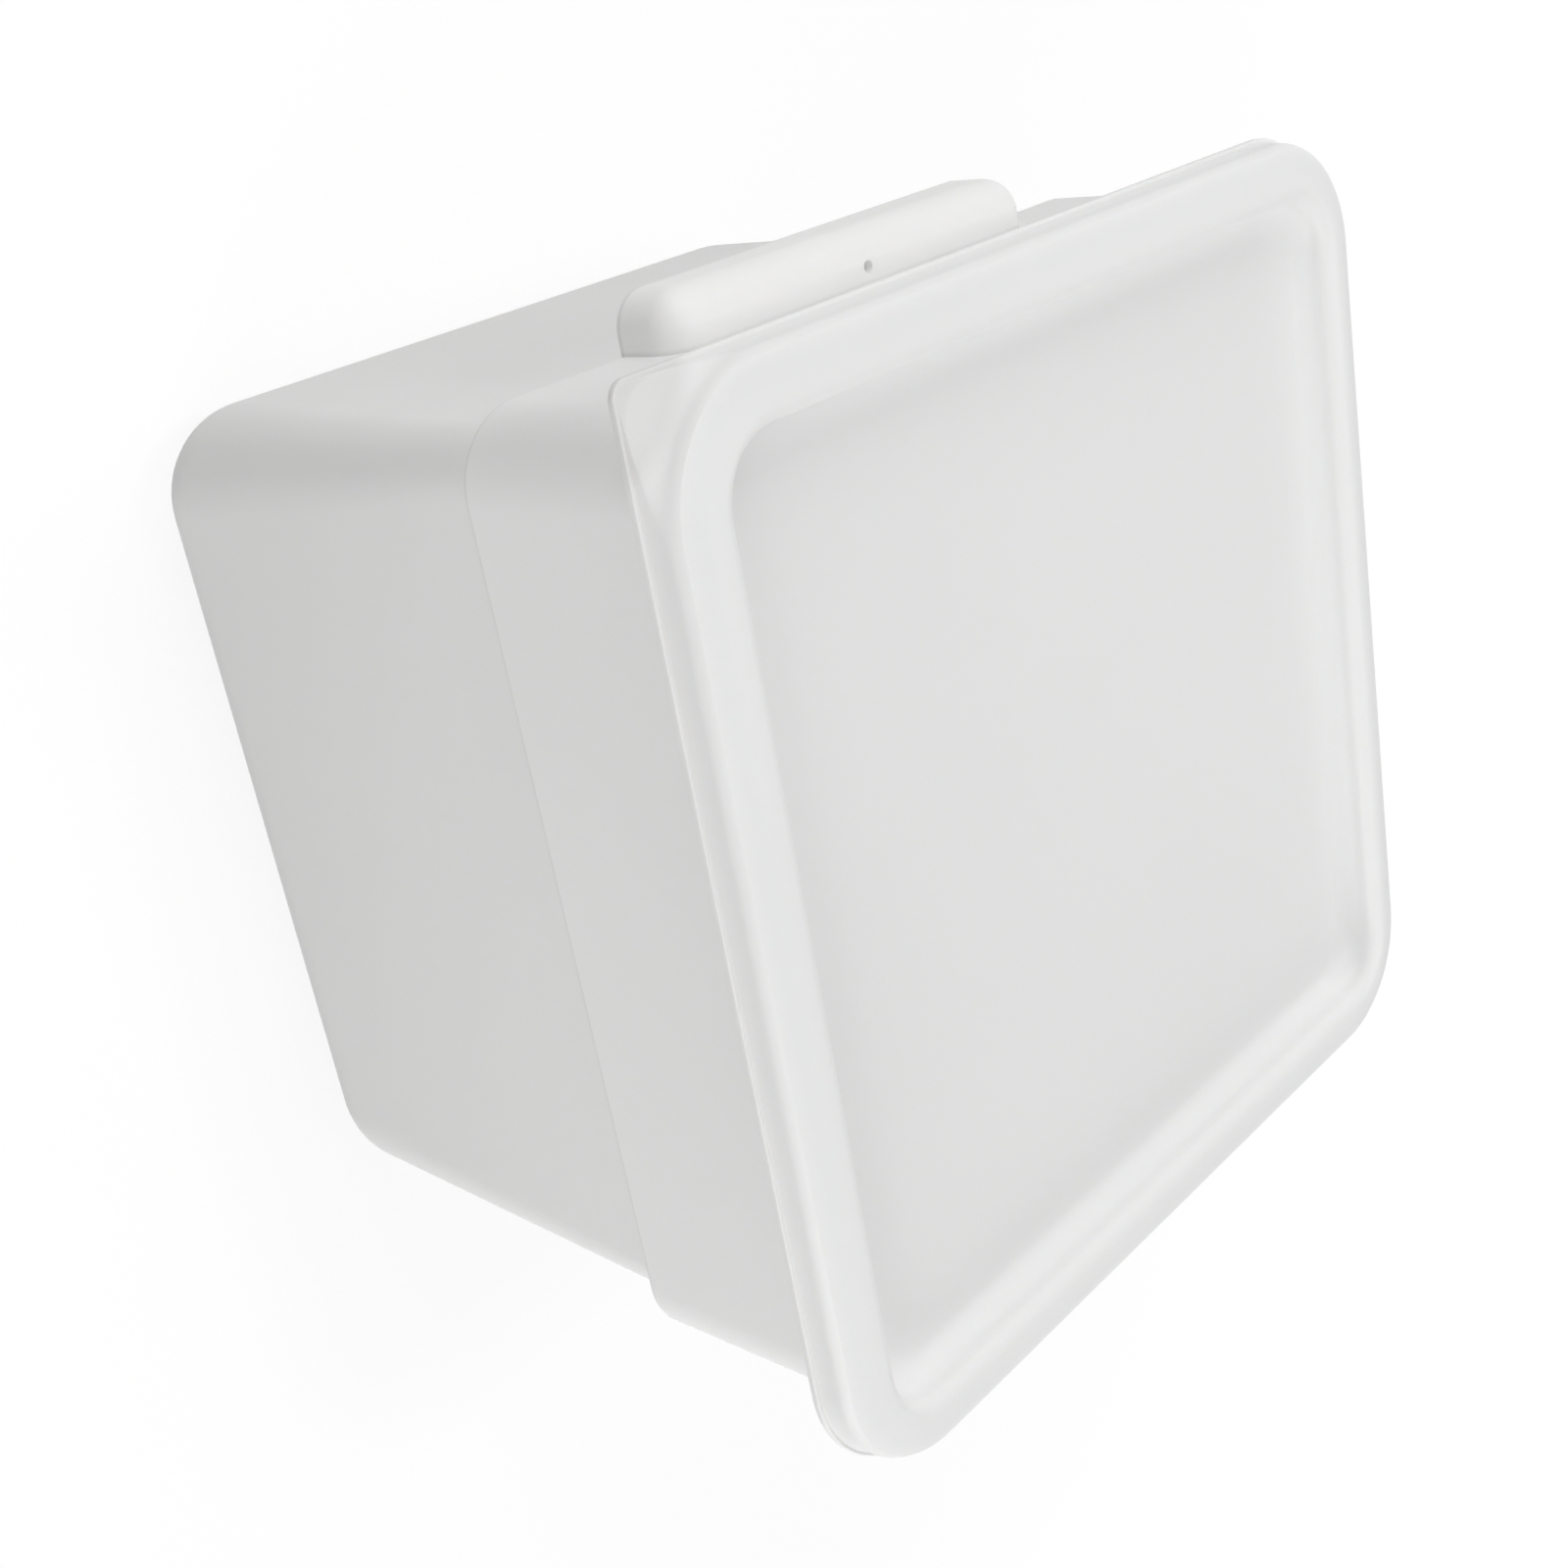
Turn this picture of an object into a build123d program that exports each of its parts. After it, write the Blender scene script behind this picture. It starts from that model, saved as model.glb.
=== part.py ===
from build123d import *
import os

# Dough proofing container: a square moulded tub with a wider collar and two finger grips,
# and a lid that snaps over its rim, with a sunken panel and a lift tab on one corner.
# Millimetres. The tub stands on the XY plane, centred on the Z axis, with a grip on -Y and one on +Y.

# Tub: lower body, whose foot is rounded all round
lower_width = 172.4
lower_height = 109.2
foot_edge_radius = 17.0
foot_flat_corner_radius = 1.0
tub_wall = 1.6

# Tub: shallow recess in the underside, which leaves a ring to stand on
foot_ring_width = 8.0
foot_recess_depth = 0.8
foot_recess_corner_radius = 20.0

# Tub: collar, which steps out all round above the lower body
collar_step = 4.7
collar_height = 56.6
collar_corner_radius = 14.4
collar_edge_bevel = 0.6

# Tub: flanged rim with a turned-down lip, which the lid snaps over
rim_reach = 5.9
rim_thickness = 1.8
rim_depth = 5.2
rim_lip_thickness = 1.5
rim_corner_radius = 21.3
rim_edge_radius = 3.2
mouth_edge_bevel = 0.8

# Tub: hollow finger grips, open underneath, with a drain hole in the top
grip_length = 102.2
grip_reach = 10.3
grip_height = 14.1
grip_wall = 1.8
grip_corner_radius = 7.0
grip_top_radius = 6.8
drain_hole_diameter = 2.4
drain_hole_from_collar = 3.2

# Lid: skirt, lip and lift tab
lid_wall = 1.4
skirt_depth = 9.5
lip_reach = 1.0
lip_thickness = 1.4
lip_bevel = 0.5
tab_corner_radius = 3.0

# Lid: sunken panel, whose wall plugs the mouth of the tub
panel_depth = 8.0
land_edge_radius = 1.8
panel_edge_radius = 5.0

# Lid: snap bead inside the skirt
snap_bead_height = 0.5
snap_bead_thickness = 1.2

# Clearances between the tub and the closed lid
seat_clearance = 0.4
snap_clearance = 0.3
plug_clearance = 0.3

# Tub sizes that follow
lower_corner_radius = foot_edge_radius + foot_flat_corner_radius
collar_width = lower_width + 2 * collar_step
tub_height = lower_height + collar_height
floor_top = foot_recess_depth + tub_wall
ledge_top = lower_height + tub_wall
foot_recess_width = lower_width - 2 * (foot_edge_radius + foot_ring_width)
mouth_width = collar_width - 2 * tub_wall
mouth_radius = collar_corner_radius - tub_wall
rim_width = collar_width + 2 * rim_reach
grip_top = lower_height + grip_height
grip_root = tub_wall / 2

# Lid sizes that follow from the rim and the mouth of the tub
rim_gap = snap_bead_height + snap_clearance
skirt_inner_width = rim_width + 2 * rim_gap
skirt_inner_radius = rim_corner_radius + rim_gap
lid_width = skirt_inner_width + 2 * lid_wall
lid_corner_radius = skirt_inner_radius + lid_wall
lid_edge_radius = rim_edge_radius + rim_gap + lid_wall
lip_width = lid_width + 2 * lip_reach
lip_corner_radius = lid_corner_radius + lip_reach
lid_ceiling = tub_height + seat_clearance
lid_top = lid_ceiling + lid_wall
lip_bottom = lid_top - skirt_depth
plug_width = mouth_width - 2 * plug_clearance
plug_radius = mouth_radius - plug_clearance
panel_top = lid_top - panel_depth


def square(width, corner_radius, mode=Mode.ADD):
    """Draws a centred square with rounded corners in the open sketch."""
    RectangleRounded(width, width, corner_radius, mode=mode)


def ring(outer_width, outer_radius, band):
    """Draws a band of even width round a rounded square in the open sketch."""
    square(outer_width, outer_radius)
    square(outer_width - 2 * band, outer_radius - band, mode=Mode.SUBTRACT)


def bevel_for(radius):
    """Gives the bevel that just touches a rounding of this radius on the same edge."""
    return radius * (2 - 2**0.5)


def lower_form(bottom, top, inset):
    """Makes the outer form of the lower body, or the form of its inside at a wall's inset."""
    with BuildPart() as form:
        with BuildSketch(Plane.XY.offset(bottom)):
            square(lower_width - 2 * inset, lower_corner_radius - inset)
        extrude(amount=top - bottom)
        fillet(form.edges().group_by(Axis.Z)[0], radius=foot_edge_radius - inset)
    return form.part


def flat_face_at(part, height):
    """Finds the largest horizontal face of a part at a height."""
    level_faces = part.faces().filter_by(Axis.Z)
    nearest_faces = level_faces.group_by(lambda face: abs(face.center().Z - height))[0]
    return nearest_faces.sort_by(SortBy.AREA)[-1]


# One finger grip: a rounded box whose underside and root are open
with BuildPart() as grip:
    with BuildSketch(Plane.XY.offset(lower_height)):
        with Locations((0, -(collar_width + grip_reach - grip_root) / 2)):
            Rectangle(grip_length, grip_reach + grip_root)
    extrude(amount=grip_height)
    outer_corners = grip.edges().filter_by(Axis.Z).group_by(Axis.Y)[0]
    fillet(outer_corners, radius=grip_corner_radius)
    top_edges = grip.faces().sort_by(Axis.Z)[-1].edges()
    fillet(top_edges.sort_by(Axis.Y)[:-1], radius=grip_top_radius)
    open_faces = [grip.faces().sort_by(Axis.Z)[0], grip.faces().sort_by(Axis.Y)[-1]]
    offset(amount=-grip_wall, openings=open_faces)
    with BuildSketch(Plane.XY.offset(grip_top)):
        with Locations((0, -(collar_width / 2 + drain_hole_from_collar))):
            Circle(drain_hole_diameter / 2)
    extrude(amount=-2 * grip_wall, mode=Mode.SUBTRACT)

# Tub: one moulding with the lower body, collar, rim and both grips
with BuildPart() as tub:
    add(lower_form(0, lower_height, 0))
    with BuildSketch(Plane.XY.offset(lower_height)):
        square(collar_width, collar_corner_radius)
    extrude(amount=collar_height)
    ledge = flat_face_at(tub, lower_height)
    chamfer(ledge.outer_wire().edges(), length=collar_edge_bevel)

    # Inside of the tub, and the recess under its floor
    add(lower_form(floor_top, ledge_top, tub_wall), mode=Mode.SUBTRACT)
    with BuildSketch(Plane.XY.offset(ledge_top)):
        square(mouth_width, mouth_radius)
    extrude(amount=tub_height - ledge_top, mode=Mode.SUBTRACT)
    with BuildSketch():
        square(foot_recess_width, foot_recess_corner_radius)
    extrude(amount=foot_recess_depth, mode=Mode.SUBTRACT)

    # Flange and turned-down lip of the rim
    with BuildSketch(Plane.XY.offset(tub_height)):
        square(rim_width, rim_corner_radius)
        square(mouth_width, mouth_radius, mode=Mode.SUBTRACT)
    extrude(amount=-rim_thickness)
    with BuildSketch(Plane.XY.offset(tub_height)):
        ring(rim_width, rim_corner_radius, rim_lip_thickness)
    extrude(amount=-rim_depth)
    rim_face = flat_face_at(tub, tub_height)
    chamfer(rim_face.outer_wire().edges(), length=bevel_for(rim_edge_radius))
    rim_face = flat_face_at(tub, tub_height)
    chamfer(rim_face.inner_wires()[0].edges(), length=mouth_edge_bevel)

    add(grip.part)
    mirror(grip.part, about=Plane.XZ)

# Space inside the lid's skirt, which the rim of the tub stands in
with BuildPart() as rim_space:
    with BuildSketch(Plane.XY.offset(lip_bottom)):
        square(skirt_inner_width, skirt_inner_radius)
    extrude(amount=skirt_depth - lid_wall)
    ceiling_edges = rim_space.edges().group_by(Axis.Z)[-1]
    chamfer(ceiling_edges, length=bevel_for(lid_edge_radius - lid_wall))

# Recess in the top of the lid, whose floor is the sunken panel
with BuildPart() as panel_space:
    with BuildSketch(Plane.XY.offset(panel_top)):
        square(plug_width - 2 * lid_wall, plug_radius - lid_wall)
    extrude(amount=panel_depth)
    chamfer(panel_space.edges().group_by(Axis.Z)[0], length=bevel_for(panel_edge_radius))

# Lid: a channel over the rim, a sunken panel inside it, a lip and a lift tab outside it
with BuildPart() as lid:
    with BuildSketch(Plane.XY.offset(lip_bottom)):
        square(lid_width, lid_corner_radius)
    extrude(amount=skirt_depth)
    fillet(lid.edges().group_by(Axis.Z)[-1], radius=lid_edge_radius)
    add(rim_space.part, mode=Mode.SUBTRACT)

    # Lip round the foot of the skirt, with one square corner as the lift tab
    tab_width = lip_corner_radius + tab_corner_radius
    tab_middle = (lip_width - tab_width) / 2
    with BuildSketch(Plane.XY.offset(lip_bottom)):
        square(lip_width, lip_corner_radius)
        with Locations((tab_middle, -tab_middle)):
            square(tab_width, tab_corner_radius)
        square(skirt_inner_width, skirt_inner_radius, mode=Mode.SUBTRACT)
    extrude(amount=lip_thickness)
    lip_face = flat_face_at(lid, lip_bottom + lip_thickness)
    chamfer(lip_face.inner_wires()[0].edges(), length=lip_bevel)

    # Plug that stands in the mouth of the tub, with the recess inside it
    with BuildSketch(Plane.XY.offset(panel_top - lid_wall)):
        square(plug_width, plug_radius)
    extrude(amount=panel_depth)
    plug_foot = flat_face_at(lid, panel_top - lid_wall)
    chamfer(plug_foot.outer_wire().edges(), length=bevel_for(panel_edge_radius + lid_wall))
    add(panel_space.part, mode=Mode.SUBTRACT)
    land_edges = flat_face_at(lid, lid_top).inner_wires()[0].edges()
    chamfer(land_edges, length=bevel_for(land_edge_radius))

    # Snap bead, just below the turned-down lip of the rim
    bead_top = tub_height - rim_depth - snap_clearance
    with BuildSketch(Plane.XY.offset(bead_top)):
        ring(skirt_inner_width, skirt_inner_radius, snap_bead_height)
    extrude(amount=-snap_bead_thickness)

os.makedirs("parts", exist_ok=True)
tub.part.label = "tub"
lid.part.label = "lid"
export_step(tub.part, "parts/tub.step")
export_step(lid.part, "parts/lid.step")
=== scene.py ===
"""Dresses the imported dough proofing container: milky moulded plastic in a plain pale studio."""

import logging
import math
from dataclasses import dataclass, field
from enum import Enum, IntEnum

import bmesh
import bpy
import numpy as np
from mathutils import Euler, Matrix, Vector


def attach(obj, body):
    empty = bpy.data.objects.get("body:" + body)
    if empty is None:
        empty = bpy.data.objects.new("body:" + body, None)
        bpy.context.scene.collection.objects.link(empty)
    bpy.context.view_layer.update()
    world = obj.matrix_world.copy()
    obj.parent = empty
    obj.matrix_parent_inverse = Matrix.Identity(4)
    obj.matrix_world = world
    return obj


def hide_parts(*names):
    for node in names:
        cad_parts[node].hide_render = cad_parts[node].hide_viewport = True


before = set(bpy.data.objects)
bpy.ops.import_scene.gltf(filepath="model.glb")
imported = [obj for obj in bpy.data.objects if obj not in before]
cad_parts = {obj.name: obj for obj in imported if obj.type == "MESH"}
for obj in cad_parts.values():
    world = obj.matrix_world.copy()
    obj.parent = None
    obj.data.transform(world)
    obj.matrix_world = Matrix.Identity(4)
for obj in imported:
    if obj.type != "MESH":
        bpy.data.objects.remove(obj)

QUARTER_TURN = math.pi / 2
LOG = logging.getLogger("container")


class Corner(Enum):
    """The upright corners of a section, in the order in which a shell goes round them."""

    BACK_RIGHT = 0
    BACK_LEFT = 1
    FRONT_LEFT = 2
    FRONT_RIGHT = 3


class Column(IntEnum):
    """The numbers that make up a section, in the order in which its row holds them."""

    HALF_LENGTH = 0
    FRONT = 1
    HEIGHT = 2
    BACK = 3
    FIRST_CORNER = 4


class Body(Enum):
    """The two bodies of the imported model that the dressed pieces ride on."""

    TUB = "tub"
    LID = "lid"


class Direction(Enum):
    """The directions along which a zone of painted light or painted shade measures its distance
    from the origin.

    TO_TAB is not of unit length, because it takes the mean of the distances along +X and along -Y.
    """

    ACROSS = (1.0, 0.0, 0.0)
    ALONG = (0.0, 1.0, 0.0)
    UPWARD = (0.0, 0.0, 1.0)
    TO_TAB = (0.5, -0.5, 0.0)


@dataclass(frozen=True)
class Section:
    """One level section of a shell: a rectangle with its own rounding at each corner, in metres."""

    height: float
    half_length: float
    front: float
    back: float
    roundings: tuple[float, float, float, float]

    def row(self) -> np.ndarray:
        """Gives the section's numbers as one row, so that sections can be blended."""
        return np.array([self.half_length, self.front, self.height, self.back, *self.roundings])


def square_section(
    half: float, centre: float, height: float, tab_centre: float | None = None
) -> Section:
    """Makes a centred square section.

    Args:
        half: Half the width of the square.
        centre: Distance from the axis to the middle of each corner's rounding, along X and Y.
        height: Height of the section.
        tab_centre: The same distance for the front right corner, where the lid has its lift tab.

    Returns:
        The section, whose corner roundings reach from the centres to the sides.
    """
    roundings = [half - centre] * len(Corner)
    if tab_centre is not None:
        roundings[Corner.FRONT_RIGHT.value] = half - tab_centre
    return Section(height, half, -half, half, tuple(roundings))


class Profile:
    """The run of sections that a shell is drawn through, from pole to pole, bends rounded.

    A rounding takes steps of at most FINE_STEP, or of BROAD_STEP from BROAD_RADIUS on. A bend that
    turns by less than STRAIGHT is left as it is.
    """

    FINE_STEP = math.radians(30)
    BROAD_STEP = math.radians(6)
    BROAD_RADIUS = 0.001
    LEAST_STEPS = 3
    STRAIGHT = math.radians(1)

    def __init__(self) -> None:
        """Starts an empty run."""
        self.bends: list[tuple[np.ndarray, float]] = []

    def to(self, section: Section, radius: float = 0.0) -> None:
        """Adds a section to the run.

        Args:
            section: The section at the bend.
            radius: Radius of the rounding of the bend, or zero for none.
        """
        self.bends.append((section.row(), radius))

    def cove(
        self, start: Section, end: Section, slopes: tuple[float, float], steps: int = 10
    ) -> None:
        """Adds a hollow sweep between two sections, such as the flare over a lip.

        Args:
            start: The section at the foot of the sweep.
            end: The section at its top.
            slopes: Steepness at the start and at the end, in degrees.
            steps: Number of steps between them.
        """
        first, last = (math.radians(slope) for slope in slopes)
        for number in range(steps + 1):
            slope = first + (last - first) * number / steps
            inward = (math.sin(slope) - math.sin(first)) / (math.sin(last) - math.sin(first))
            upward = (math.cos(first) - math.cos(slope)) / (math.cos(first) - math.cos(last))
            row = start.row() + (end.row() - start.row()) * inward
            row[Column.HEIGHT] = start.height + (end.height - start.height) * upward
            self.bends.append((row, 0.0))

    def dome(self, start: Section, end: Section, steps: int = 8) -> None:
        """Adds a low arch that rises from one section and is level at the other.

        Args:
            start: The section that the run is at.
            end: The section at the top of the arch.
            steps: Number of steps between them.
        """
        for number in range(1, steps + 1):
            share = number / steps
            row = start.row() + (end.row() - start.row()) * share
            row[Column.HEIGHT] = end.height + (start.height - end.height) * (1 - share) ** 2
            self.bends.append((row, 0.0))

    def rows(self) -> np.ndarray:
        """Gives every section along the run, bends rounded.

        Returns:
            One row of numbers for each section, in the order of Column.
        """
        last = len(self.bends) - 1
        rows: list[np.ndarray] = []
        for index, (row, radius) in enumerate(self.bends):
            if radius <= 0 or index in (0, last):
                rows.append(row)
                continue
            before = self.bends[index - 1][0]
            after = self.bends[index + 1][0]
            rows.extend(self._rounded(before, row, after, radius))
        return np.array(rows)

    def _rounded(
        self, before: np.ndarray, row: np.ndarray, after: np.ndarray, radius: float
    ) -> list[np.ndarray]:
        """Rounds one bend, measured in the plane of half length and height.

        Args:
            before: The section before the bend.
            row: The section at the bend.
            after: The section after the bend.
            radius: Radius of the rounding.

        Returns:
            The sections along the rounding, from its start to its end.
        """
        out, up = Column.HALF_LENGTH, Column.HEIGHT
        back = (before - row) / math.hypot(before[out] - row[out], before[up] - row[up])
        ahead = (after - row) / math.hypot(after[out] - row[out], after[up] - row[up])
        facing = min(1.0, max(-1.0, back[out] * ahead[out] + back[up] * ahead[up]))
        turn = math.pi - math.acos(facing)
        if turn < self.STRAIGHT:
            return [row]
        cut = radius * math.tan(turn / 2)
        step = self.BROAD_STEP if radius >= self.BROAD_RADIUS else self.FINE_STEP
        steps = max(self.LEAST_STEPS, math.ceil(turn / step))

        # The arc starts and ends at the cut, and each of its points is told along the two sides
        found = []
        for number in range(steps + 1):
            angle = turn * number / steps
            rise = radius * (1 - math.cos(angle)) / math.sin(turn)
            run = cut - radius * math.sin(angle) + rise * math.cos(turn)
            found.append(row + run * back + rise * ahead)
        return found


def add_object(
    name: str, data: bpy.types.Mesh | bpy.types.Light | bpy.types.Camera
) -> bpy.types.Object:
    """Adds an object to the scene.

    Args:
        name: Name of the object.
        data: The mesh, light or camera that it shows.

    Returns:
        The object, at the origin of the row frame.
    """
    thing = bpy.data.objects.new(name, data)
    bpy.context.scene.collection.objects.link(thing)
    return thing


def evaluated_mesh(thing: bpy.types.Object, name: str) -> bpy.types.Mesh:
    """Gives an object's mesh with its modifiers applied.

    Args:
        thing: The object.
        name: Name of the new mesh.

    Returns:
        The plain mesh.
    """
    bpy.context.view_layer.update()
    depsgraph = bpy.context.evaluated_depsgraph_get()
    mesh = bpy.data.meshes.new_from_object(thing.evaluated_get(depsgraph), depsgraph=depsgraph)
    mesh.name = name
    return mesh


def weld(mesh: bpy.types.Mesh, distance: float) -> None:
    """Merges the points of a mesh that lie close together.

    Args:
        mesh: The mesh.
        distance: The largest distance between points that are merged, in metres.
    """
    shape = bmesh.new()
    shape.from_mesh(mesh)
    bmesh.ops.remove_doubles(shape, verts=shape.verts[:], dist=distance)
    shape.to_mesh(mesh)
    shape.free()


def dress(mesh: bpy.types.Mesh, finish: bpy.types.Material) -> None:
    """Gives every face of a mesh the same finish, and drops the empty slots that drawing leaves.

    Args:
        mesh: The mesh.
        finish: The material.
    """
    mesh.materials.clear()
    mesh.materials.append(finish)
    mesh.polygons.foreach_set("material_index", np.zeros(len(mesh.polygons), dtype=np.int32))


class ShellTree:
    """A Geometry Nodes tree that draws a closed shell through the sections of a profile.

    Each section is a ring of points round its four roundings. The rings are the columns of a grid,
    whose seam and poles are welded at the end, where points lie within SEAM_WELD, in metres.
    """

    CORNER_ATTRIBUTES = tuple(f"corner_{corner.value}" for corner in Corner)
    BACK_ATTRIBUTE = "back"
    SEAM_WELD = 2e-6

    def __init__(self, name: str) -> None:
        """Builds the tree with its named inputs.

        Args:
            name: Name of the node tree.
        """
        self.tree = bpy.data.node_groups.new(name, "GeometryNodeTree")
        for socket, kind in (
            ("Sections", "NodeSocketGeometry"),
            ("Corner Points", "NodeSocketInt"),
            ("Weld Distance", "NodeSocketFloat"),
            ("Finish", "NodeSocketMaterial"),
        ):
            self.tree.interface.new_socket(socket, in_out="INPUT", socket_type=kind)
        self.tree.interface.new_socket("Shell", in_out="OUTPUT", socket_type="NodeSocketGeometry")
        self.given = self._node("NodeGroupInput")
        self._build()

    def _node(self, kind: str, **settings: object) -> bpy.types.Node:
        """Adds a node to the tree.

        Args:
            kind: The node's type.
            settings: The node's own settings, by name.

        Returns:
            The new node.
        """
        node = self.tree.nodes.new(kind)
        for name, value in settings.items():
            setattr(node, name, value)
        return node

    def _feed(self, socket: bpy.types.NodeSocket, value: bpy.types.NodeSocket | float) -> None:
        """Links an input to another node's output, or sets its value.

        Args:
            socket: The input.
            value: The output to link it to, or the plain value.
        """
        if isinstance(value, bpy.types.NodeSocket):
            self.tree.links.new(value, socket)
        else:
            socket.default_value = value

    def _math(self, operation: str, *numbers: bpy.types.NodeSocket | float) -> bpy.types.NodeSocket:
        """Adds a Math node.

        Args:
            operation: What the node works out.
            numbers: What it works with, as plain numbers or as the outputs that give them.

        Returns:
            The output with the result.
        """
        node = self._node("ShaderNodeMath", operation=operation)
        for socket, value in zip(node.inputs, numbers):
            self._feed(socket, value)
        return node.outputs[0]

    def _attribute(self, name: str) -> bpy.types.NodeSocket:
        """Reads a number that the profile's points carry.

        Args:
            name: Name of the attribute.

        Returns:
            The output with the number.
        """
        node = self._node("GeometryNodeInputNamedAttribute", data_type="FLOAT")
        node.inputs["Name"].default_value = name
        return node.outputs["Attribute"]

    def _sample(
        self, value: bpy.types.NodeSocket, index: bpy.types.NodeSocket, kind: str
    ) -> bpy.types.NodeSocket:
        """Reads a value at one point of the profile.

        Args:
            value: The value to read.
            index: Number of the point.
            kind: The value's data type.

        Returns:
            The output with the value at that point.
        """
        node = self._node("GeometryNodeSampleIndex", data_type=kind, domain="POINT")
        self._feed(node.inputs["Geometry"], self.given.outputs["Sections"])
        self._feed(node.inputs["Value"], value)
        self._feed(node.inputs["Index"], index)
        return node.outputs[0]

    def _build(self) -> None:
        """Lays out the whole tree."""
        # A grid with one column of points for each section, and one more row to close the seam
        size = self._node("GeometryNodeAttributeDomainSize", component="MESH")
        self._feed(size.inputs[0], self.given.outputs["Sections"])
        rings = size.outputs["Point Count"]
        per_corner = self.given.outputs["Corner Points"]
        around = self._math("MULTIPLY_ADD", per_corner, float(len(Corner)), 1.0)
        grid = self._node("GeometryNodeMeshGrid")
        self._feed(grid.inputs["Vertices X"], around)
        self._feed(grid.inputs["Vertices Y"], rings)

        # Which section and which corner a point belongs to, and its angle round that corner. Half
        # an index is added before each division, so that no rounding error gets past FLOOR.
        index = self._node("GeometryNodeInputIndex").outputs[0]
        ring = self._math("MODULO", index, rings)
        place = self._math("DIVIDE", self._math("ADD", index, 0.5), rings)
        place = self._math("FLOOR", place)
        step = self._math("MODULO", place, per_corner)
        corner = self._math("DIVIDE", self._math("ADD", place, 0.5), per_corner)
        corner = self._math("MODULO", self._math("FLOOR", corner), float(len(Corner)))
        share = self._math("DIVIDE", step, self._math("SUBTRACT", per_corner, 1.0))
        angle = self._math("MULTIPLY", self._math("ADD", corner, share), QUARTER_TURN)
        middle = self._math("MULTIPLY", self._math("ADD", corner, 0.5), QUARTER_TURN)

        # The numbers of that section, whose first three are its point's position
        position = self._node("GeometryNodeInputPosition").outputs[0]
        split = self._node("ShaderNodeSeparateXYZ")
        self._feed(split.inputs[0], self._sample(position, ring, "FLOAT_VECTOR"))
        half_length, front, height = split.outputs
        back = self._sample(self._attribute(self.BACK_ATTRIBUTE), ring, "FLOAT")
        choose = self._node("GeometryNodeIndexSwitch", data_type="FLOAT")
        while len(choose.index_switch_items) < len(Corner):
            choose.index_switch_items.new()
        self._feed(choose.inputs["Index"], corner)
        for number, name in enumerate(self.CORNER_ATTRIBUTES):
            rounding = self._sample(self._attribute(name), ring, "FLOAT")
            self._feed(choose.inputs[number + 1], rounding)
        rounding = choose.outputs[0]

        # The point itself: the middle of its corner's rounding, and from there out by its angle
        side = self._math("SIGN", self._math("COSINE", middle))
        depth = self._math("SIGN", self._math("SINE", middle))
        is_back = self._node("FunctionNodeCompare", data_type="FLOAT", operation="GREATER_THAN")
        self._feed(is_back.inputs[0], depth)
        edge = self._node("GeometryNodeSwitch", input_type="FLOAT")
        self._feed(edge.inputs["Switch"], is_back.outputs[0])
        self._feed(edge.inputs["False"], front)
        self._feed(edge.inputs["True"], back)
        middle_x = self._math("MULTIPLY", side, self._math("SUBTRACT", half_length, rounding))
        inset = self._math("MULTIPLY", depth, rounding)
        middle_y = self._math("SUBTRACT", edge.outputs[0], inset)
        out_x = self._math("MULTIPLY", rounding, self._math("COSINE", angle))
        out_y = self._math("MULTIPLY", rounding, self._math("SINE", angle))
        point = self._node("ShaderNodeCombineXYZ")
        self._feed(point.inputs["X"], self._math("ADD", middle_x, out_x))
        self._feed(point.inputs["Y"], self._math("ADD", middle_y, out_y))
        self._feed(point.inputs["Z"], height)

        # The shell, closed and dressed
        placed = self._node("GeometryNodeSetPosition")
        self._feed(placed.inputs["Geometry"], grid.outputs["Mesh"])
        self._feed(placed.inputs["Position"], point.outputs[0])
        welded = self._node("GeometryNodeMergeByDistance")
        self._feed(welded.inputs["Geometry"], placed.outputs[0])
        self._feed(welded.inputs["Distance"], self.given.outputs["Weld Distance"])
        smooth = self._node("GeometryNodeSetShadeSmooth")
        self._feed(smooth.inputs["Geometry"], welded.outputs[0])
        realized = self._node("GeometryNodeRealizeInstances")
        self._feed(realized.inputs[0], smooth.outputs[0])
        painted = self._node("GeometryNodeSetMaterial")
        self._feed(painted.inputs["Geometry"], realized.outputs[0])
        self._feed(painted.inputs["Material"], self.given.outputs["Finish"])
        self._feed(self._node("NodeGroupOutput").inputs[0], painted.outputs[0])

    def draw(
        self, name: str, profile: Profile, corner_points: int, finish: bpy.types.Material
    ) -> bpy.types.Mesh:
        """Draws the shell of one profile.

        Args:
            name: Name of the mesh.
            profile: The run of sections.
            corner_points: Number of points round each corner.
            finish: The material of the shell.

        Returns:
            A plain mesh with the seam and poles welded.
        """
        # A section's first three numbers travel as a point's position, the rest as attributes
        rows = profile.rows()
        outline = bpy.data.meshes.new(f"{name}_sections")
        outline.from_pydata([tuple(row[: Column.BACK]) for row in rows], [], [])
        values = {self.BACK_ATTRIBUTE: rows[:, Column.BACK]}
        for number, attribute in enumerate(self.CORNER_ATTRIBUTES):
            values[attribute] = rows[:, Column.FIRST_CORNER + number]
        for attribute, numbers in values.items():
            layer = outline.attributes.new(attribute, "FLOAT", "POINT")
            layer.data.foreach_set("value", numbers.astype(np.float32))

        holder = add_object(f"{name}_sections", outline)
        modifier = holder.modifiers.new("Shell", "NODES")
        modifier.node_group = self.tree
        chosen = {
            "Corner Points": corner_points,
            "Weld Distance": self.SEAM_WELD,
            "Finish": finish,
        }
        for item in self.tree.interface.items_tree:
            if item.name in chosen:
                modifier[item.identifier] = chosen[item.name]
        mesh = evaluated_mesh(holder, name)
        bpy.data.objects.remove(holder)
        bpy.data.meshes.remove(outline)
        return mesh


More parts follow.
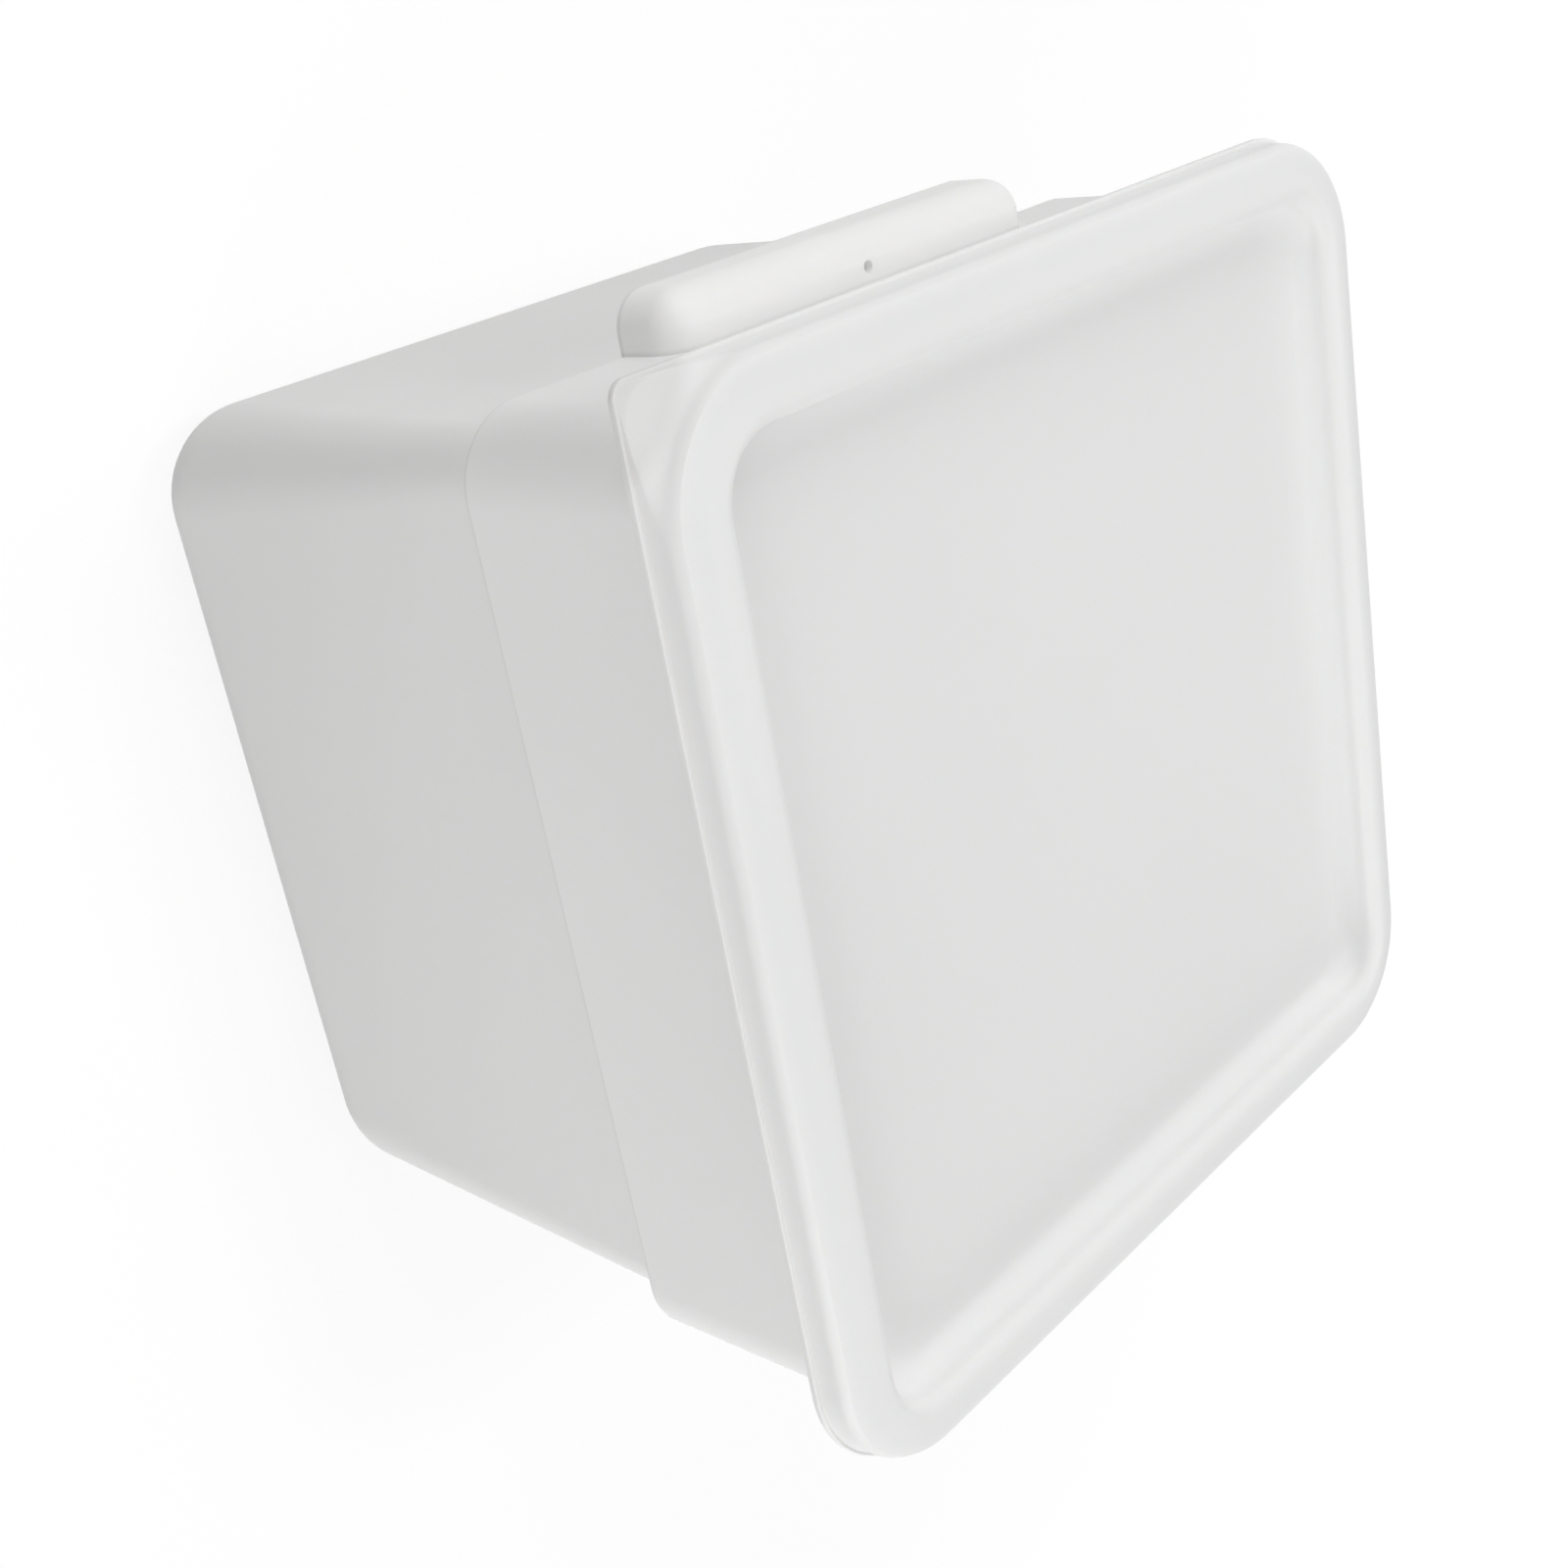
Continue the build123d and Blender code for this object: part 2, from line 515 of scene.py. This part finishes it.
@dataclass(frozen=True)
class PaintedLightZone:
    """A zone of painted light or painted shade, where milky plastic's colour is painted paler or
    darker than elsewhere.

    The painted light stands in for light that comes through the plastic and light that more plastic
    behind it sends back, and the painted shade stands in for shade. The zone is told by the
    distance from the origin along one direction, or the larger of the distances along two. It fades
    in from start to end, in metres, and there the colour is multiplied by lift.
    """

    directions: tuple[Direction, ...]
    start: float
    end: float
    lift: float
    corner_softness: float = 0.012

    def tint(
        self,
        nodes: bpy.types.Nodes,
        links: bpy.types.NodeLinks,
        place: bpy.types.NodeSocket,
        colour: bpy.types.NodeSocket,
    ) -> bpy.types.NodeSocket:
        """Adds the nodes that paint light or shade into a colour in the zone.

        Args:
            nodes: The material's nodes.
            links: The material's links.
            place: Object coordinates.
            colour: The colour so far.

        Returns:
            The colour with the zone in it.
        """
        distances = []
        for direction in self.directions:
            along = nodes.new("ShaderNodeVectorMath")
            along.operation = "DOT_PRODUCT"
            along.inputs[1].default_value = direction.value
            links.new(place, along.inputs[0])
            distance = nodes.new("ShaderNodeMath")
            distance.operation = "ABSOLUTE"
            links.new(along.outputs["Value"], distance.inputs[0])
            distances.append(distance.outputs[0])
        reach = nodes.new("ShaderNodeMath")
        reach.operation = "SMOOTH_MAX"
        reach.inputs[2].default_value = self.corner_softness if len(distances) > 1 else 0.0
        links.new(distances[0], reach.inputs[0])
        links.new(distances[-1], reach.inputs[1])
        share = nodes.new("ShaderNodeMapRange")
        share.interpolation_type = "SMOOTHSTEP"
        share.inputs["From Min"].default_value = self.start
        share.inputs["From Max"].default_value = self.end
        links.new(reach.outputs[0], share.inputs["Value"])
        lifted = nodes.new("ShaderNodeMix")
        lifted.data_type = "RGBA"
        lifted.blend_type = "MULTIPLY"
        lifted.inputs["B"].default_value = (self.lift, self.lift, self.lift, 1)
        links.new(share.outputs["Result"], lifted.inputs["Factor"])
        links.new(colour, lifted.inputs["A"])
        return lifted.outputs["Result"]


@dataclass(frozen=True)
class MilkyPlastic:
    """Milky polypropylene as it leaves a satin mould: cloudy, finely grained, a little see-through.

    Its sizes and depths are in metres, and a detail is the number of octaves of a noise.
    """

    name: str
    colour: tuple[float, float, float]
    cloud_colour: tuple[float, float, float]
    roughness: tuple[float, float] = (0.48, 0.60)
    ior: float = 1.49
    cloud_size: float = 0.06
    cloud_detail: float = 3.0
    satin_size: float = 0.03
    satin_detail: float = 5.0
    grain_size: float = 0.0011
    grain_detail: float = 2.0
    grain_depth: float = 0.00001
    wave_size: float = 0.07
    wave_detail: float = 1.0
    wave_depth: float = 0.00012
    translucency: float = 0.6
    scatter: tuple[float, float, float] = (0.0016, 0.0015, 0.0014)
    painted_light_zones: tuple[PaintedLightZone, ...] = ()

    def material(self) -> bpy.types.Material:
        """Builds the finish's nodes, all on object coordinates.

        Returns:
            The material.
        """
        material = bpy.data.materials.new(self.name)
        material.use_nodes = True
        nodes, links = material.node_tree.nodes, material.node_tree.links
        shader = nodes["Principled BSDF"]
        shader.inputs["IOR"].default_value = self.ior
        shader.inputs["Subsurface Weight"].default_value = self.translucency
        shader.inputs["Subsurface Radius"].default_value = self.scatter
        shader.inputs["Subsurface Scale"].default_value = 1.0
        place = nodes.new("ShaderNodeTexCoord").outputs["Object"]

        def noise(size: float, detail: float) -> bpy.types.NodeSocket:
            """Adds a noise.

            Args:
                size: Rough size of its blotches, in metres.
                detail: Number of its octaves.

            Returns:
                The output with the noise.
            """
            node = nodes.new("ShaderNodeTexNoise")
            node.inputs["Scale"].default_value = 1 / size
            node.inputs["Detail"].default_value = detail
            links.new(place, node.inputs["Vector"])
            return node.outputs["Fac"]

        # Colour: faint clouds, with the zones of painted light and painted shade over them
        clouds = nodes.new("ShaderNodeMix")
        clouds.data_type = "RGBA"
        clouds.inputs["A"].default_value = (*self.colour, 1)
        clouds.inputs["B"].default_value = (*self.cloud_colour, 1)
        links.new(noise(self.cloud_size, self.cloud_detail), clouds.inputs["Factor"])
        colour = clouds.outputs["Result"]
        # Painted light and painted shade, zone by zone
        for glow in self.painted_light_zones:
            colour = glow.tint(nodes, links, place, colour)
        links.new(colour, shader.inputs["Base Color"])

        # Gloss: satin, a little uneven
        satin = nodes.new("ShaderNodeMapRange")
        satin.inputs["To Min"].default_value = self.roughness[0]
        satin.inputs["To Max"].default_value = self.roughness[1]
        links.new(noise(self.satin_size, self.satin_detail), satin.inputs["Value"])
        links.new(satin.outputs["Result"], shader.inputs["Roughness"])

        # Relief: broad waves of a thin moulding, and the mould's fine grain
        waves = nodes.new("ShaderNodeBump")
        waves.inputs["Distance"].default_value = self.wave_depth
        links.new(noise(self.wave_size, self.wave_detail), waves.inputs["Height"])
        grain = nodes.new("ShaderNodeBump")
        grain.inputs["Distance"].default_value = self.grain_depth
        links.new(noise(self.grain_size, self.grain_detail), grain.inputs["Height"])
        links.new(waves.outputs["Normal"], grain.inputs["Normal"])
        links.new(grain.outputs["Normal"], shader.inputs["Normal"])
        return material


@dataclass
class Moulding:
    """What the tub and the lid share: one mesh that rides on a body and replaces its node.

    Each corner of its sections has corner_points, and its faces meet smoothly where they turn by
    less than crease_angle, in radians.
    """

    tree: ShellTree
    finish: MilkyPlastic
    corner_points: int = 25
    crease_angle: float = math.radians(50)

    def place(self, mesh: bpy.types.Mesh, name: str, body: Body, slot: str) -> bpy.types.Object:
        """Makes the finished piece.

        Args:
            mesh: The dressed mesh, in the row frame.
            name: Name of the piece.
            body: The body that it rides on and whose node it replaces.
            slot: The record's material slot. It is not used.

        Returns:
            The placed piece.
        """
        mesh.set_sharp_from_angle(angle=self.crease_angle)
        piece = add_object(name, mesh)
        weighted = piece.modifiers.new("Flat faces stay flat", "WEIGHTED_NORMAL")
        weighted.keep_sharp = True
        piece.data = evaluated_mesh(piece, name)
        piece.modifiers.clear()
        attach(piece, body.value)
        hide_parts(body.value)
        return piece


@dataclass
class Tub(Moulding):
    """The tub: lower body, stepped-out collar, turned-down rim and two hollow finger grips.

    Its sizes are in metres. A half is a width from the axis, and an edge or a corner is the radius
    of a rounding.
    """

    lower_half: float = 0.0862
    lower_height: float = 0.1092
    wall: float = 0.0016
    foot_corner: float = 0.020
    step_corner: float = 0.0097
    foot_edge: float = 0.017
    recess_half: float = 0.0612
    recess_corner: float = 0.020
    recess_depth: float = 0.0008
    gate_radius: float = 0.0016
    gate_height: float = 0.0003
    collar_half: float = 0.0909
    collar_corner: float = 0.0144
    height: float = 0.1658
    rim_half: float = 0.0968
    rim_corner: float = 0.0213
    rim_thickness: float = 0.0018
    rim_depth: float = 0.0052
    rim_lip: float = 0.0015
    rim_edge: float = 0.0032
    mouth_edge: float = 0.0013
    grip_half: float = 0.0511
    grip_reach: float = 0.0103
    grip_height: float = 0.0141
    grip_wall: float = 0.0018
    grip_corner: float = 0.0070
    grip_edge: float = 0.0068
    grip_root: float = 0.0008
    grip_root_corner: float = 1e-5
    grip_corner_points: int = 13
    drain_radius: float = 0.0012
    drain_foot_radius: float = 0.0008
    drain_from_collar: float = 0.0032
    drain_sides: int = 40
    fine_edge: float = 0.0003
    joint_weld: float = 1e-5

    def shell_profile(self) -> Profile:
        """Runs from the middle of the underside up the outside, over the rim and to the floor.

        Returns:
            The profile of the tub without its grips.
        """
        fine = self.fine_edge
        foot_centre = self.lower_half - self.foot_corner
        step_centre = self.lower_half - self.step_corner
        recess_centre = self.recess_half - self.recess_corner
        collar_centre = self.collar_half - self.collar_corner
        rim_centre = self.rim_half - self.rim_corner
        mouth_half = self.collar_half - self.wall
        inner_half = self.lower_half - self.wall
        lip_half = self.rim_half - self.rim_lip
        flange = self.height - self.rim_thickness
        lip_foot = self.height - self.rim_depth
        ledge = self.lower_height + self.wall
        floor = self.recess_depth + self.wall
        gate_face = self.recess_depth - self.gate_height
        run = Profile()

        # Underside: gate mark, recess and the ring that the tub stands on
        run.to(square_section(0, 0, gate_face))
        run.to(square_section(self.gate_radius, 0, gate_face), self.gate_height / 2)
        run.to(square_section(self.gate_radius, 0, self.recess_depth), self.gate_height / 2)
        run.to(square_section(self.recess_half, recess_centre, self.recess_depth), fine)
        run.to(square_section(self.recess_half, recess_centre, 0), fine)
        run.to(square_section(self.lower_half - self.foot_edge, foot_centre, 0))

        # Outside: foot, step, collar and rim
        run.to(square_section(self.lower_half, foot_centre, 0), self.foot_edge)
        run.to(square_section(self.lower_half, step_centre, self.lower_height), 2 * fine)
        run.to(square_section(self.collar_half, collar_centre, self.lower_height), 3 * fine)
        run.to(square_section(self.collar_half, collar_centre, flange), 2 * fine)
        run.to(square_section(lip_half, rim_centre, flange), fine)
        run.to(square_section(lip_half, rim_centre, lip_foot), fine)
        run.to(square_section(self.rim_half, rim_centre, lip_foot), fine)
        run.to(square_section(self.rim_half, rim_centre, self.height), self.rim_edge)

        # Inside: mouth, ledge and floor
        run.to(square_section(mouth_half, collar_centre, self.height), self.mouth_edge)
        run.to(square_section(mouth_half, collar_centre, ledge), 2 * fine)
        run.to(square_section(inner_half, step_centre, ledge), 2 * fine)
        run.to(square_section(inner_half, foot_centre, floor), self.foot_edge - self.wall)
        run.to(square_section(self.lower_half - self.foot_edge, foot_centre, floor))
        run.to(square_section(0, 0, floor))
        return run

    def grip_profile(self) -> Profile:
        """Runs from under the front grip's top down its pocket, up its outside and over its top.

        Returns:
            The profile of the grip on -Y, whose root lies in the wall of the collar.
        """
        fine = self.fine_edge
        wall = self.grip_wall
        front = -self.collar_half - self.grip_reach
        back = -self.collar_half + self.grip_root
        top = self.lower_height + self.grip_height

        def across(inset: float, back_inset: float, height: float) -> Section:
            """Gives a section of the grip.

            Args:
                inset: How far its three free sides are set in.
                back_inset: How far its root is set in.
                height: Height of the section.

            Returns:
                The section.
            """
            corner = self.grip_corner - inset
            roundings = (self.grip_root_corner, self.grip_root_corner, corner, corner)
            length = self.grip_half - inset
            return Section(height, length, front + inset, back - back_inset, roundings)

        def middle(height: float) -> Section:
            """Gives the pole in the middle of the grip's top."""
            depth = (front + self.grip_edge + back) / 2
            return Section(height, 0, depth, depth, (0, 0, 0, 0))

        run = Profile()
        run.to(middle(top - wall))
        run.to(across(self.grip_edge, 2 * fine, top - wall))
        run.to(across(wall, 2 * fine, top - wall), self.grip_edge - wall)
        run.to(across(wall, 2 * fine, self.lower_height), fine)
        run.to(across(0, 0, self.lower_height), fine)
        run.to(across(0, 0, top), self.grip_edge)
        run.to(across(self.grip_edge, 0, top))
        run.to(middle(top))
        return run

    def drain_drill(self) -> bpy.types.Mesh:
        """Draws the bar that drills the front grip's drain hole, tapered as a mould's pin is.

        Returns:
            The bar. It reaches two walls below and two walls above the grip's top, with the same
            taper all the way.
        """
        taper = self.drain_radius - self.drain_foot_radius
        drill = bmesh.new()
        bmesh.ops.create_cone(
            drill,
            cap_ends=True,
            segments=self.drain_sides,
            radius1=self.drain_foot_radius - taper,
            radius2=self.drain_radius + 2 * taper,
            depth=4 * self.grip_wall,
        )
        depth = -self.collar_half - self.drain_from_collar
        place = (0, depth, self.lower_height + self.grip_height)
        bmesh.ops.translate(drill, verts=drill.verts, vec=place)
        mesh = bpy.data.meshes.new("drain_drill")
        drill.to_mesh(mesh)
        drill.free()
        return mesh

    def build(self) -> bpy.types.Object:
        """Draws the shell, joins both grips to it and drills their drain holes.

        Returns:
            The finished tub.
        """
        finish = self.finish.material()
        shell = self.tree.draw("tub_moulding", self.shell_profile(), self.corner_points, finish)
        grip = self.tree.draw("grip", self.grip_profile(), self.grip_corner_points, finish)
        body = add_object("tub_shell", shell)
        helpers = []
        for source, operation in ((grip, "UNION"), (self.drain_drill(), "DIFFERENCE")):
            for turn in (0.0, math.pi):
                copy = source.copy()
                copy.transform(Euler((0, 0, turn)).to_matrix().to_4x4())
                helper = add_object("helper", copy)
                step = body.modifiers.new("Grips and drains", "BOOLEAN")
                step.operation = operation
                step.solver = "EXACT"
                step.object = helper
                helpers.append(helper)
        mesh = evaluated_mesh(body, "tub_moulding")
        for thing in (body, *helpers):
            bpy.data.objects.remove(thing)
        weld(mesh, self.joint_weld)
        dress(mesh, finish)
        return self.place(mesh, "tub_moulding", Body.TUB, "tub_plastic")


@dataclass
class Lid(Moulding):
    """The lid: a channel over the rim, a sunken panel, and a thin lip with a corner lift tab.

    Its sizes are in metres and its angles in degrees. Flare and ridge are places on the rounding
    of its outer edge: the hollow flare over the lip ends at the first, and the crisp fold round
    the land is at the second.
    """

    half: float = 0.0990
    corner: float = 0.0235
    top: float = 0.1676
    wall: float = 0.0014
    edge: float = 0.0054
    edge_steps: int = 4
    flare_angle: float = 15.0
    ridge_angle: float = 38.0
    tab_slope: float = 18.0
    depth: float = 0.0095
    lip_reach: float = 0.0010
    lip_thickness: float = 0.0014
    tab_corner: float = 0.0030
    inner_half: float = 0.0976
    plug_half: float = 0.0890
    plug_corner: float = 0.0125
    panel_depth: float = 0.0080
    panel_edge: float = 0.0050
    land_edge: float = 0.0030
    ceiling_edge: float = 0.0012
    bead_top: float = 0.1603
    bead_height: float = 0.0005
    bead_thickness: float = 0.0012
    fine_edge: float = 0.0003

    def edge_section(self, centre: float, angle: float) -> Section:
        """Gives a section on the rounding of the lid's outer edge.

        Args:
            centre: Distance from the axis to the middle of each corner's rounding.
            angle: Place on the edge's rounding, in degrees above its foot.

        Returns:
            The section.
        """
        turn = math.radians(angle)
        half = self.half - self.edge * (1 - math.cos(turn))
        return square_section(half, centre, self.top - self.edge * (1 - math.sin(turn)))

    def profile(self) -> Profile:
        """Runs from under the panel round the rim's channel, over the lip and land to its top.

        Returns:
            The profile of the whole lid.
        """
        fine = self.fine_edge
        centre = self.half - self.corner
        plug_centre = self.plug_half - self.plug_corner
        lip_half = self.half + self.lip_reach
        tab_centre = lip_half - self.tab_corner
        bottom = self.top - self.depth
        lip_top = bottom + self.lip_thickness
        ceiling = self.top - self.wall
        panel = self.top - self.panel_depth
        under_panel = panel - self.wall
        plug_edge = self.panel_edge + self.wall
        recess_half = self.plug_half - self.wall
        bead_half = self.inner_half - self.bead_height
        bead_rise = self.bead_height / 2
        bead_bottom = self.bead_top - self.bead_thickness
        run = Profile()

        # Underside: panel, plug, channel and snap bead
        run.to(square_section(0, 0, under_panel))
        run.to(square_section(self.plug_half, plug_centre, under_panel), plug_edge)
        run.to(square_section(self.plug_half, plug_centre, ceiling), self.ceiling_edge)
        run.to(square_section(self.inner_half, centre, ceiling), self.edge - self.wall)
        run.to(square_section(self.inner_half, centre, self.bead_top), fine / 2)
        run.to(square_section(bead_half, centre, self.bead_top - bead_rise), fine)
        run.to(square_section(bead_half, centre, bead_bottom + bead_rise), fine)
        run.to(square_section(self.inner_half, centre, bead_bottom), fine / 2)
        run.to(square_section(self.inner_half, centre, bottom), fine / 2)

        # Outside: lip and lift tab, flare, fold and land
        run.to(square_section(lip_half, centre, bottom, tab_centre), fine)
        run.to(square_section(lip_half, centre, lip_top, tab_centre), fine)
        lip_inner = square_section(lip_half - 2 * fine, centre, lip_top, tab_centre - fine)
        flare = self.edge_section(centre, self.flare_angle)
        run.cove(lip_inner, flare, (self.tab_slope, 90 - self.flare_angle))
        angles = np.linspace(self.flare_angle, self.ridge_angle, self.edge_steps + 1)
        for angle in angles[1:-1]:
            run.to(self.edge_section(centre, angle))
        ridge = self.edge_section(centre, self.ridge_angle)
        run.to(ridge, fine)
        run.dome(ridge, square_section(recess_half + self.land_edge, centre, self.top))

        # Recess, whose floor is the panel
        run.to(square_section(recess_half, plug_centre, self.top), self.land_edge)
        run.to(square_section(recess_half, plug_centre, panel), self.panel_edge)
        run.to(square_section(0, 0, panel))
        return run

    def build(self) -> bpy.types.Object:
        """Draws the lid in one shell.

        Returns:
            The finished lid.
        """
        finish = self.finish.material()
        mesh = self.tree.draw("lid_moulding", self.profile(), self.corner_points, finish)
        dress(mesh, finish)
        return self.place(mesh, "lid_moulding", Body.LID, "lid_plastic")


@dataclass(frozen=True)
class SoftBox:
    """A square studio lamp that faces the container, with its place and size in metres."""

    name: str
    place: tuple[float, float, float]
    size: float
    watts: float

    def build(self, aim: Vector) -> None:
        """Hangs the lamp so that it faces a point.

        Args:
            aim: The point in the row frame that the lamp faces.
        """
        light = bpy.data.lights.new(self.name, "AREA")
        light.size = self.size
        light.energy = self.watts
        lamp = add_object(self.name, light)
        lamp.location = self.place
        lamp.rotation_euler = (aim - Vector(self.place)).to_track_quat("-Z", "Y").to_euler()


@dataclass
class Studio:
    """A pale floor without an end, an even sky and a few soft boxes.

    The floor is seen white and keeps the container's shadow, whose strength is shadow_share. The
    floor's own glow grows from white_from on and is plain white from white_at on, both in metres.
    """

    floor_half: float = 6.0
    floor_colour: tuple[float, float, float] = (0.55, 0.55, 0.55)
    shadow_share: float = 0.3
    white_from: float = 0.3
    white_at: float = 0.9
    sky: float = 0.37
    aim: Vector = field(default_factory=lambda: Vector((0, 0, 0.09)))
    lamps: tuple[SoftBox, ...] = (
        SoftBox("overhead_box", place=(0, -0.466, 1.829), size=0.3, watts=6.0),
        SoftBox("front_box", place=(0, -1.631, 0.851), size=1.1, watts=11.9),
        SoftBox("side_box", place=(1.229, 1.229, 0.556), size=0.9, watts=16.0),
        SoftBox("back_box", place=(-0.9, 0, 1.649), size=1.5, watts=4.4),
    )

    @staticmethod
    def _seen_directly(nodes: bpy.types.Nodes, links: bpy.types.NodeLinks) -> bpy.types.NodeSocket:
        """Tells what is seen from what gives light.

        Args:
            nodes: The nodes of the floor or the sky.
            links: Their links.

        Returns:
            The output that is 1 for camera, glossy and transmission rays, and 0 for other light.
        """
        path = nodes.new("ShaderNodeLightPath")
        total = path.outputs["Is Camera Ray"]
        for name in ("Is Glossy Ray", "Is Transmission Ray"):
            either = nodes.new("ShaderNodeMath")
            either.operation = "MAXIMUM"
            links.new(total, either.inputs[0])
            links.new(path.outputs[name], either.inputs[1])
            total = either.outputs[0]
        return total

    def floor_material(self) -> bpy.types.Material:
        """Builds a floor that lights the container as pale card and is seen white.

        Returns:
            The material, which keeps the container's shadow.
        """
        material = bpy.data.materials.new("pale_floor")
        material.use_nodes = True
        nodes, links = material.node_tree.nodes, material.node_tree.links
        nodes.clear()
        card = nodes.new("ShaderNodeBsdfDiffuse")
        card.inputs["Color"].default_value = (*self.floor_colour, 1)
        shaded = nodes.new("ShaderNodeBsdfDiffuse")
        faint = (self.shadow_share * part for part in self.floor_colour)
        shaded.inputs["Color"].default_value = (*faint, 1)

        # Near the container the shaded card is lit to about half of shadow_share, and the glow
        # makes up the rest. Further out, where no lamp reaches, the glow makes plain white.
        place = nodes.new("ShaderNodeTexCoord")
        distance = nodes.new("ShaderNodeVectorMath")
        distance.operation = "LENGTH"
        links.new(place.outputs["Object"], distance.inputs[0])
        fade = nodes.new("ShaderNodeMapRange")
        fade.interpolation_type = "SMOOTHSTEP"
        fade.inputs["From Min"].default_value = self.white_from
        fade.inputs["From Max"].default_value = self.white_at
        fade.inputs["To Min"].default_value = 1 - self.shadow_share / 2
        fade.inputs["To Max"].default_value = 1.0
        links.new(distance.outputs["Value"], fade.inputs["Value"])
        glow = nodes.new("ShaderNodeEmission")
        links.new(fade.outputs["Result"], glow.inputs["Strength"])

        seen = nodes.new("ShaderNodeAddShader")
        links.new(shaded.outputs[0], seen.inputs[0])
        links.new(glow.outputs[0], seen.inputs[1])
        mix = nodes.new("ShaderNodeMixShader")
        links.new(self._seen_directly(nodes, links), mix.inputs[0])
        links.new(card.outputs[0], mix.inputs[1])
        links.new(seen.outputs[0], mix.inputs[2])
        output = nodes.new("ShaderNodeOutputMaterial")
        links.new(mix.outputs[0], output.inputs["Surface"])
        return material

    def build_floor(self) -> None:
        """Lays the floor under the container."""
        mesh = bpy.data.meshes.new("studio_floor")
        shape = bmesh.new()
        bmesh.ops.create_grid(shape, x_segments=1, y_segments=1, size=self.floor_half)
        shape.to_mesh(mesh)
        shape.free()
        mesh.materials.append(self.floor_material())
        floor = add_object("studio_floor", mesh)

    def build_sky(self) -> None:
        """Fills the room with even light, and shows white behind the floor."""
        world = bpy.data.worlds.new("studio_sky")
        bpy.context.scene.world = world
        world.use_nodes = True
        nodes, links = world.node_tree.nodes, world.node_tree.links
        nodes.clear()
        mix = nodes.new("ShaderNodeMixShader")
        links.new(self._seen_directly(nodes, links), mix.inputs[0])
        for number, strength in enumerate((self.sky, 1.0), start=1):
            light = nodes.new("ShaderNodeBackground")
            light.inputs["Color"].default_value = (1, 1, 1, 1)
            light.inputs["Strength"].default_value = strength
            links.new(light.outputs[0], mix.inputs[number])
        output = nodes.new("ShaderNodeOutputWorld")
        links.new(mix.outputs[0], output.inputs["Surface"])

    def build(self) -> None:
        """Sets up floor, sky and lamps."""
        self.build_floor()
        self.build_sky()
        for lamp in self.lamps:
            lamp.build(self.aim)


@dataclass(frozen=True)
class PhotographCamera:
    """The camera that was fitted to the photograph's outlines.

    Its place and near limit are in metres, and its lens and sensor in millimetres.
    """

    place: tuple[float, float, float] = (0.29338, -0.15457, 0.37503)
    turn_degrees: tuple[float, float, float] = (-11.6395, -47.6716, 165.4068)
    lens: float = 48.003
    sensor: float = 36.0
    nearest: float = 0.01

    def build(self) -> None:
        """Sets the camera up and makes it the scene's."""
        data = bpy.data.cameras.new("photograph_camera")
        data.lens = self.lens
        data.sensor_width = self.sensor
        data.clip_start = self.nearest
        camera = add_object("photograph_camera", data)
        camera.location = self.place
        camera.rotation_euler = Euler([math.radians(angle) for angle in self.turn_degrees])
        bpy.context.scene.camera = camera


# Painted light and painted shade on the tub: it is painted paler towards the step, with a painted
# shadow line under the step's edge. The collar is painted paler still, and the grips palest, most
# of all at their root, where the lid's shade falls.
TUB_PAINTED_LIGHT = (
    # Painted light: the lower walls are painted paler from near the foot up to the step
    PaintedLightZone((Direction.UPWARD,), start=0.0200, end=0.1092, lift=1.05),
    # Painted shade: a darker line under the step's edge, where the ledge shades the wall
    PaintedLightZone((Direction.UPWARD,), start=0.1085, end=0.1090, lift=0.92),
    # Painted light: the collar is painted paler than the walls below it
    PaintedLightZone((Direction.UPWARD,), start=0.1099, end=0.1105, lift=1.125),
    # Painted light: the grips' root, in the lid's shade, is painted palest
    PaintedLightZone((Direction.ALONG,), start=0.0910, end=0.0920, lift=1.10),
    # Painted light: the grips' outer part is painted less pale than their root
    PaintedLightZone((Direction.ALONG,), start=0.0935, end=0.0975, lift=0.94),
)

# Painted light and painted shade on the lid: it is painted paler over the tub's rim than on its
# panel, and its thin lip and its lift tab are painted darker.
LID_PAINTED_LIGHT = (
    # Painted light: the land over the tub's rim is painted paler, standing in for light that the
    # rim's plastic under it sends back
    PaintedLightZone((Direction.ACROSS, Direction.ALONG), start=0.0750, end=0.0870, lift=1.03),
    # Painted shade: the thin lip is painted darker
    PaintedLightZone((Direction.ACROSS, Direction.ALONG), start=0.0990, end=0.0996, lift=0.95),
    # Painted shade: the lift tab is painted darker
    PaintedLightZone((Direction.TO_TAB,), start=0.0914, end=0.0938, lift=0.885),
)

# Both finishes carry the zones of painted light and painted shade above
TUB_FINISH = MilkyPlastic(
    "milky_tub_plastic",
    colour=(0.785, 0.785, 0.777),
    cloud_colour=(0.755, 0.755, 0.75),
    painted_light_zones=TUB_PAINTED_LIGHT,
)
LID_FINISH = MilkyPlastic(
    "milky_lid_plastic",
    colour=(0.82, 0.82, 0.815),
    cloud_colour=(0.79, 0.79, 0.785),
    painted_light_zones=LID_PAINTED_LIGHT,
)


def write_sizes() -> None:
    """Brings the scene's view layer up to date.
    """
    bpy.context.view_layer.update()


def main() -> None:
    """Builds the pieces in order and reports each."""
    logging.basicConfig(level=logging.INFO, format="%(message)s")
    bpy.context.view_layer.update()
    tree = ShellTree("rounded_section_shell")
    for moulding in (Tub(tree, TUB_FINISH), Lid(tree, LID_FINISH)):
        piece = moulding.build()
        LOG.info("%s: %d faces", piece.name, len(piece.data.polygons))
    studio = Studio()
    studio.build()
    LOG.info("studio: %d lamps", len(studio.lamps))
    camera = PhotographCamera()
    camera.build()
    LOG.info("camera: %.1f mm lens", camera.lens)
    bpy.context.scene.view_settings.view_transform = "Standard"
    write_sizes()


if __name__ == "__main__":
    main()
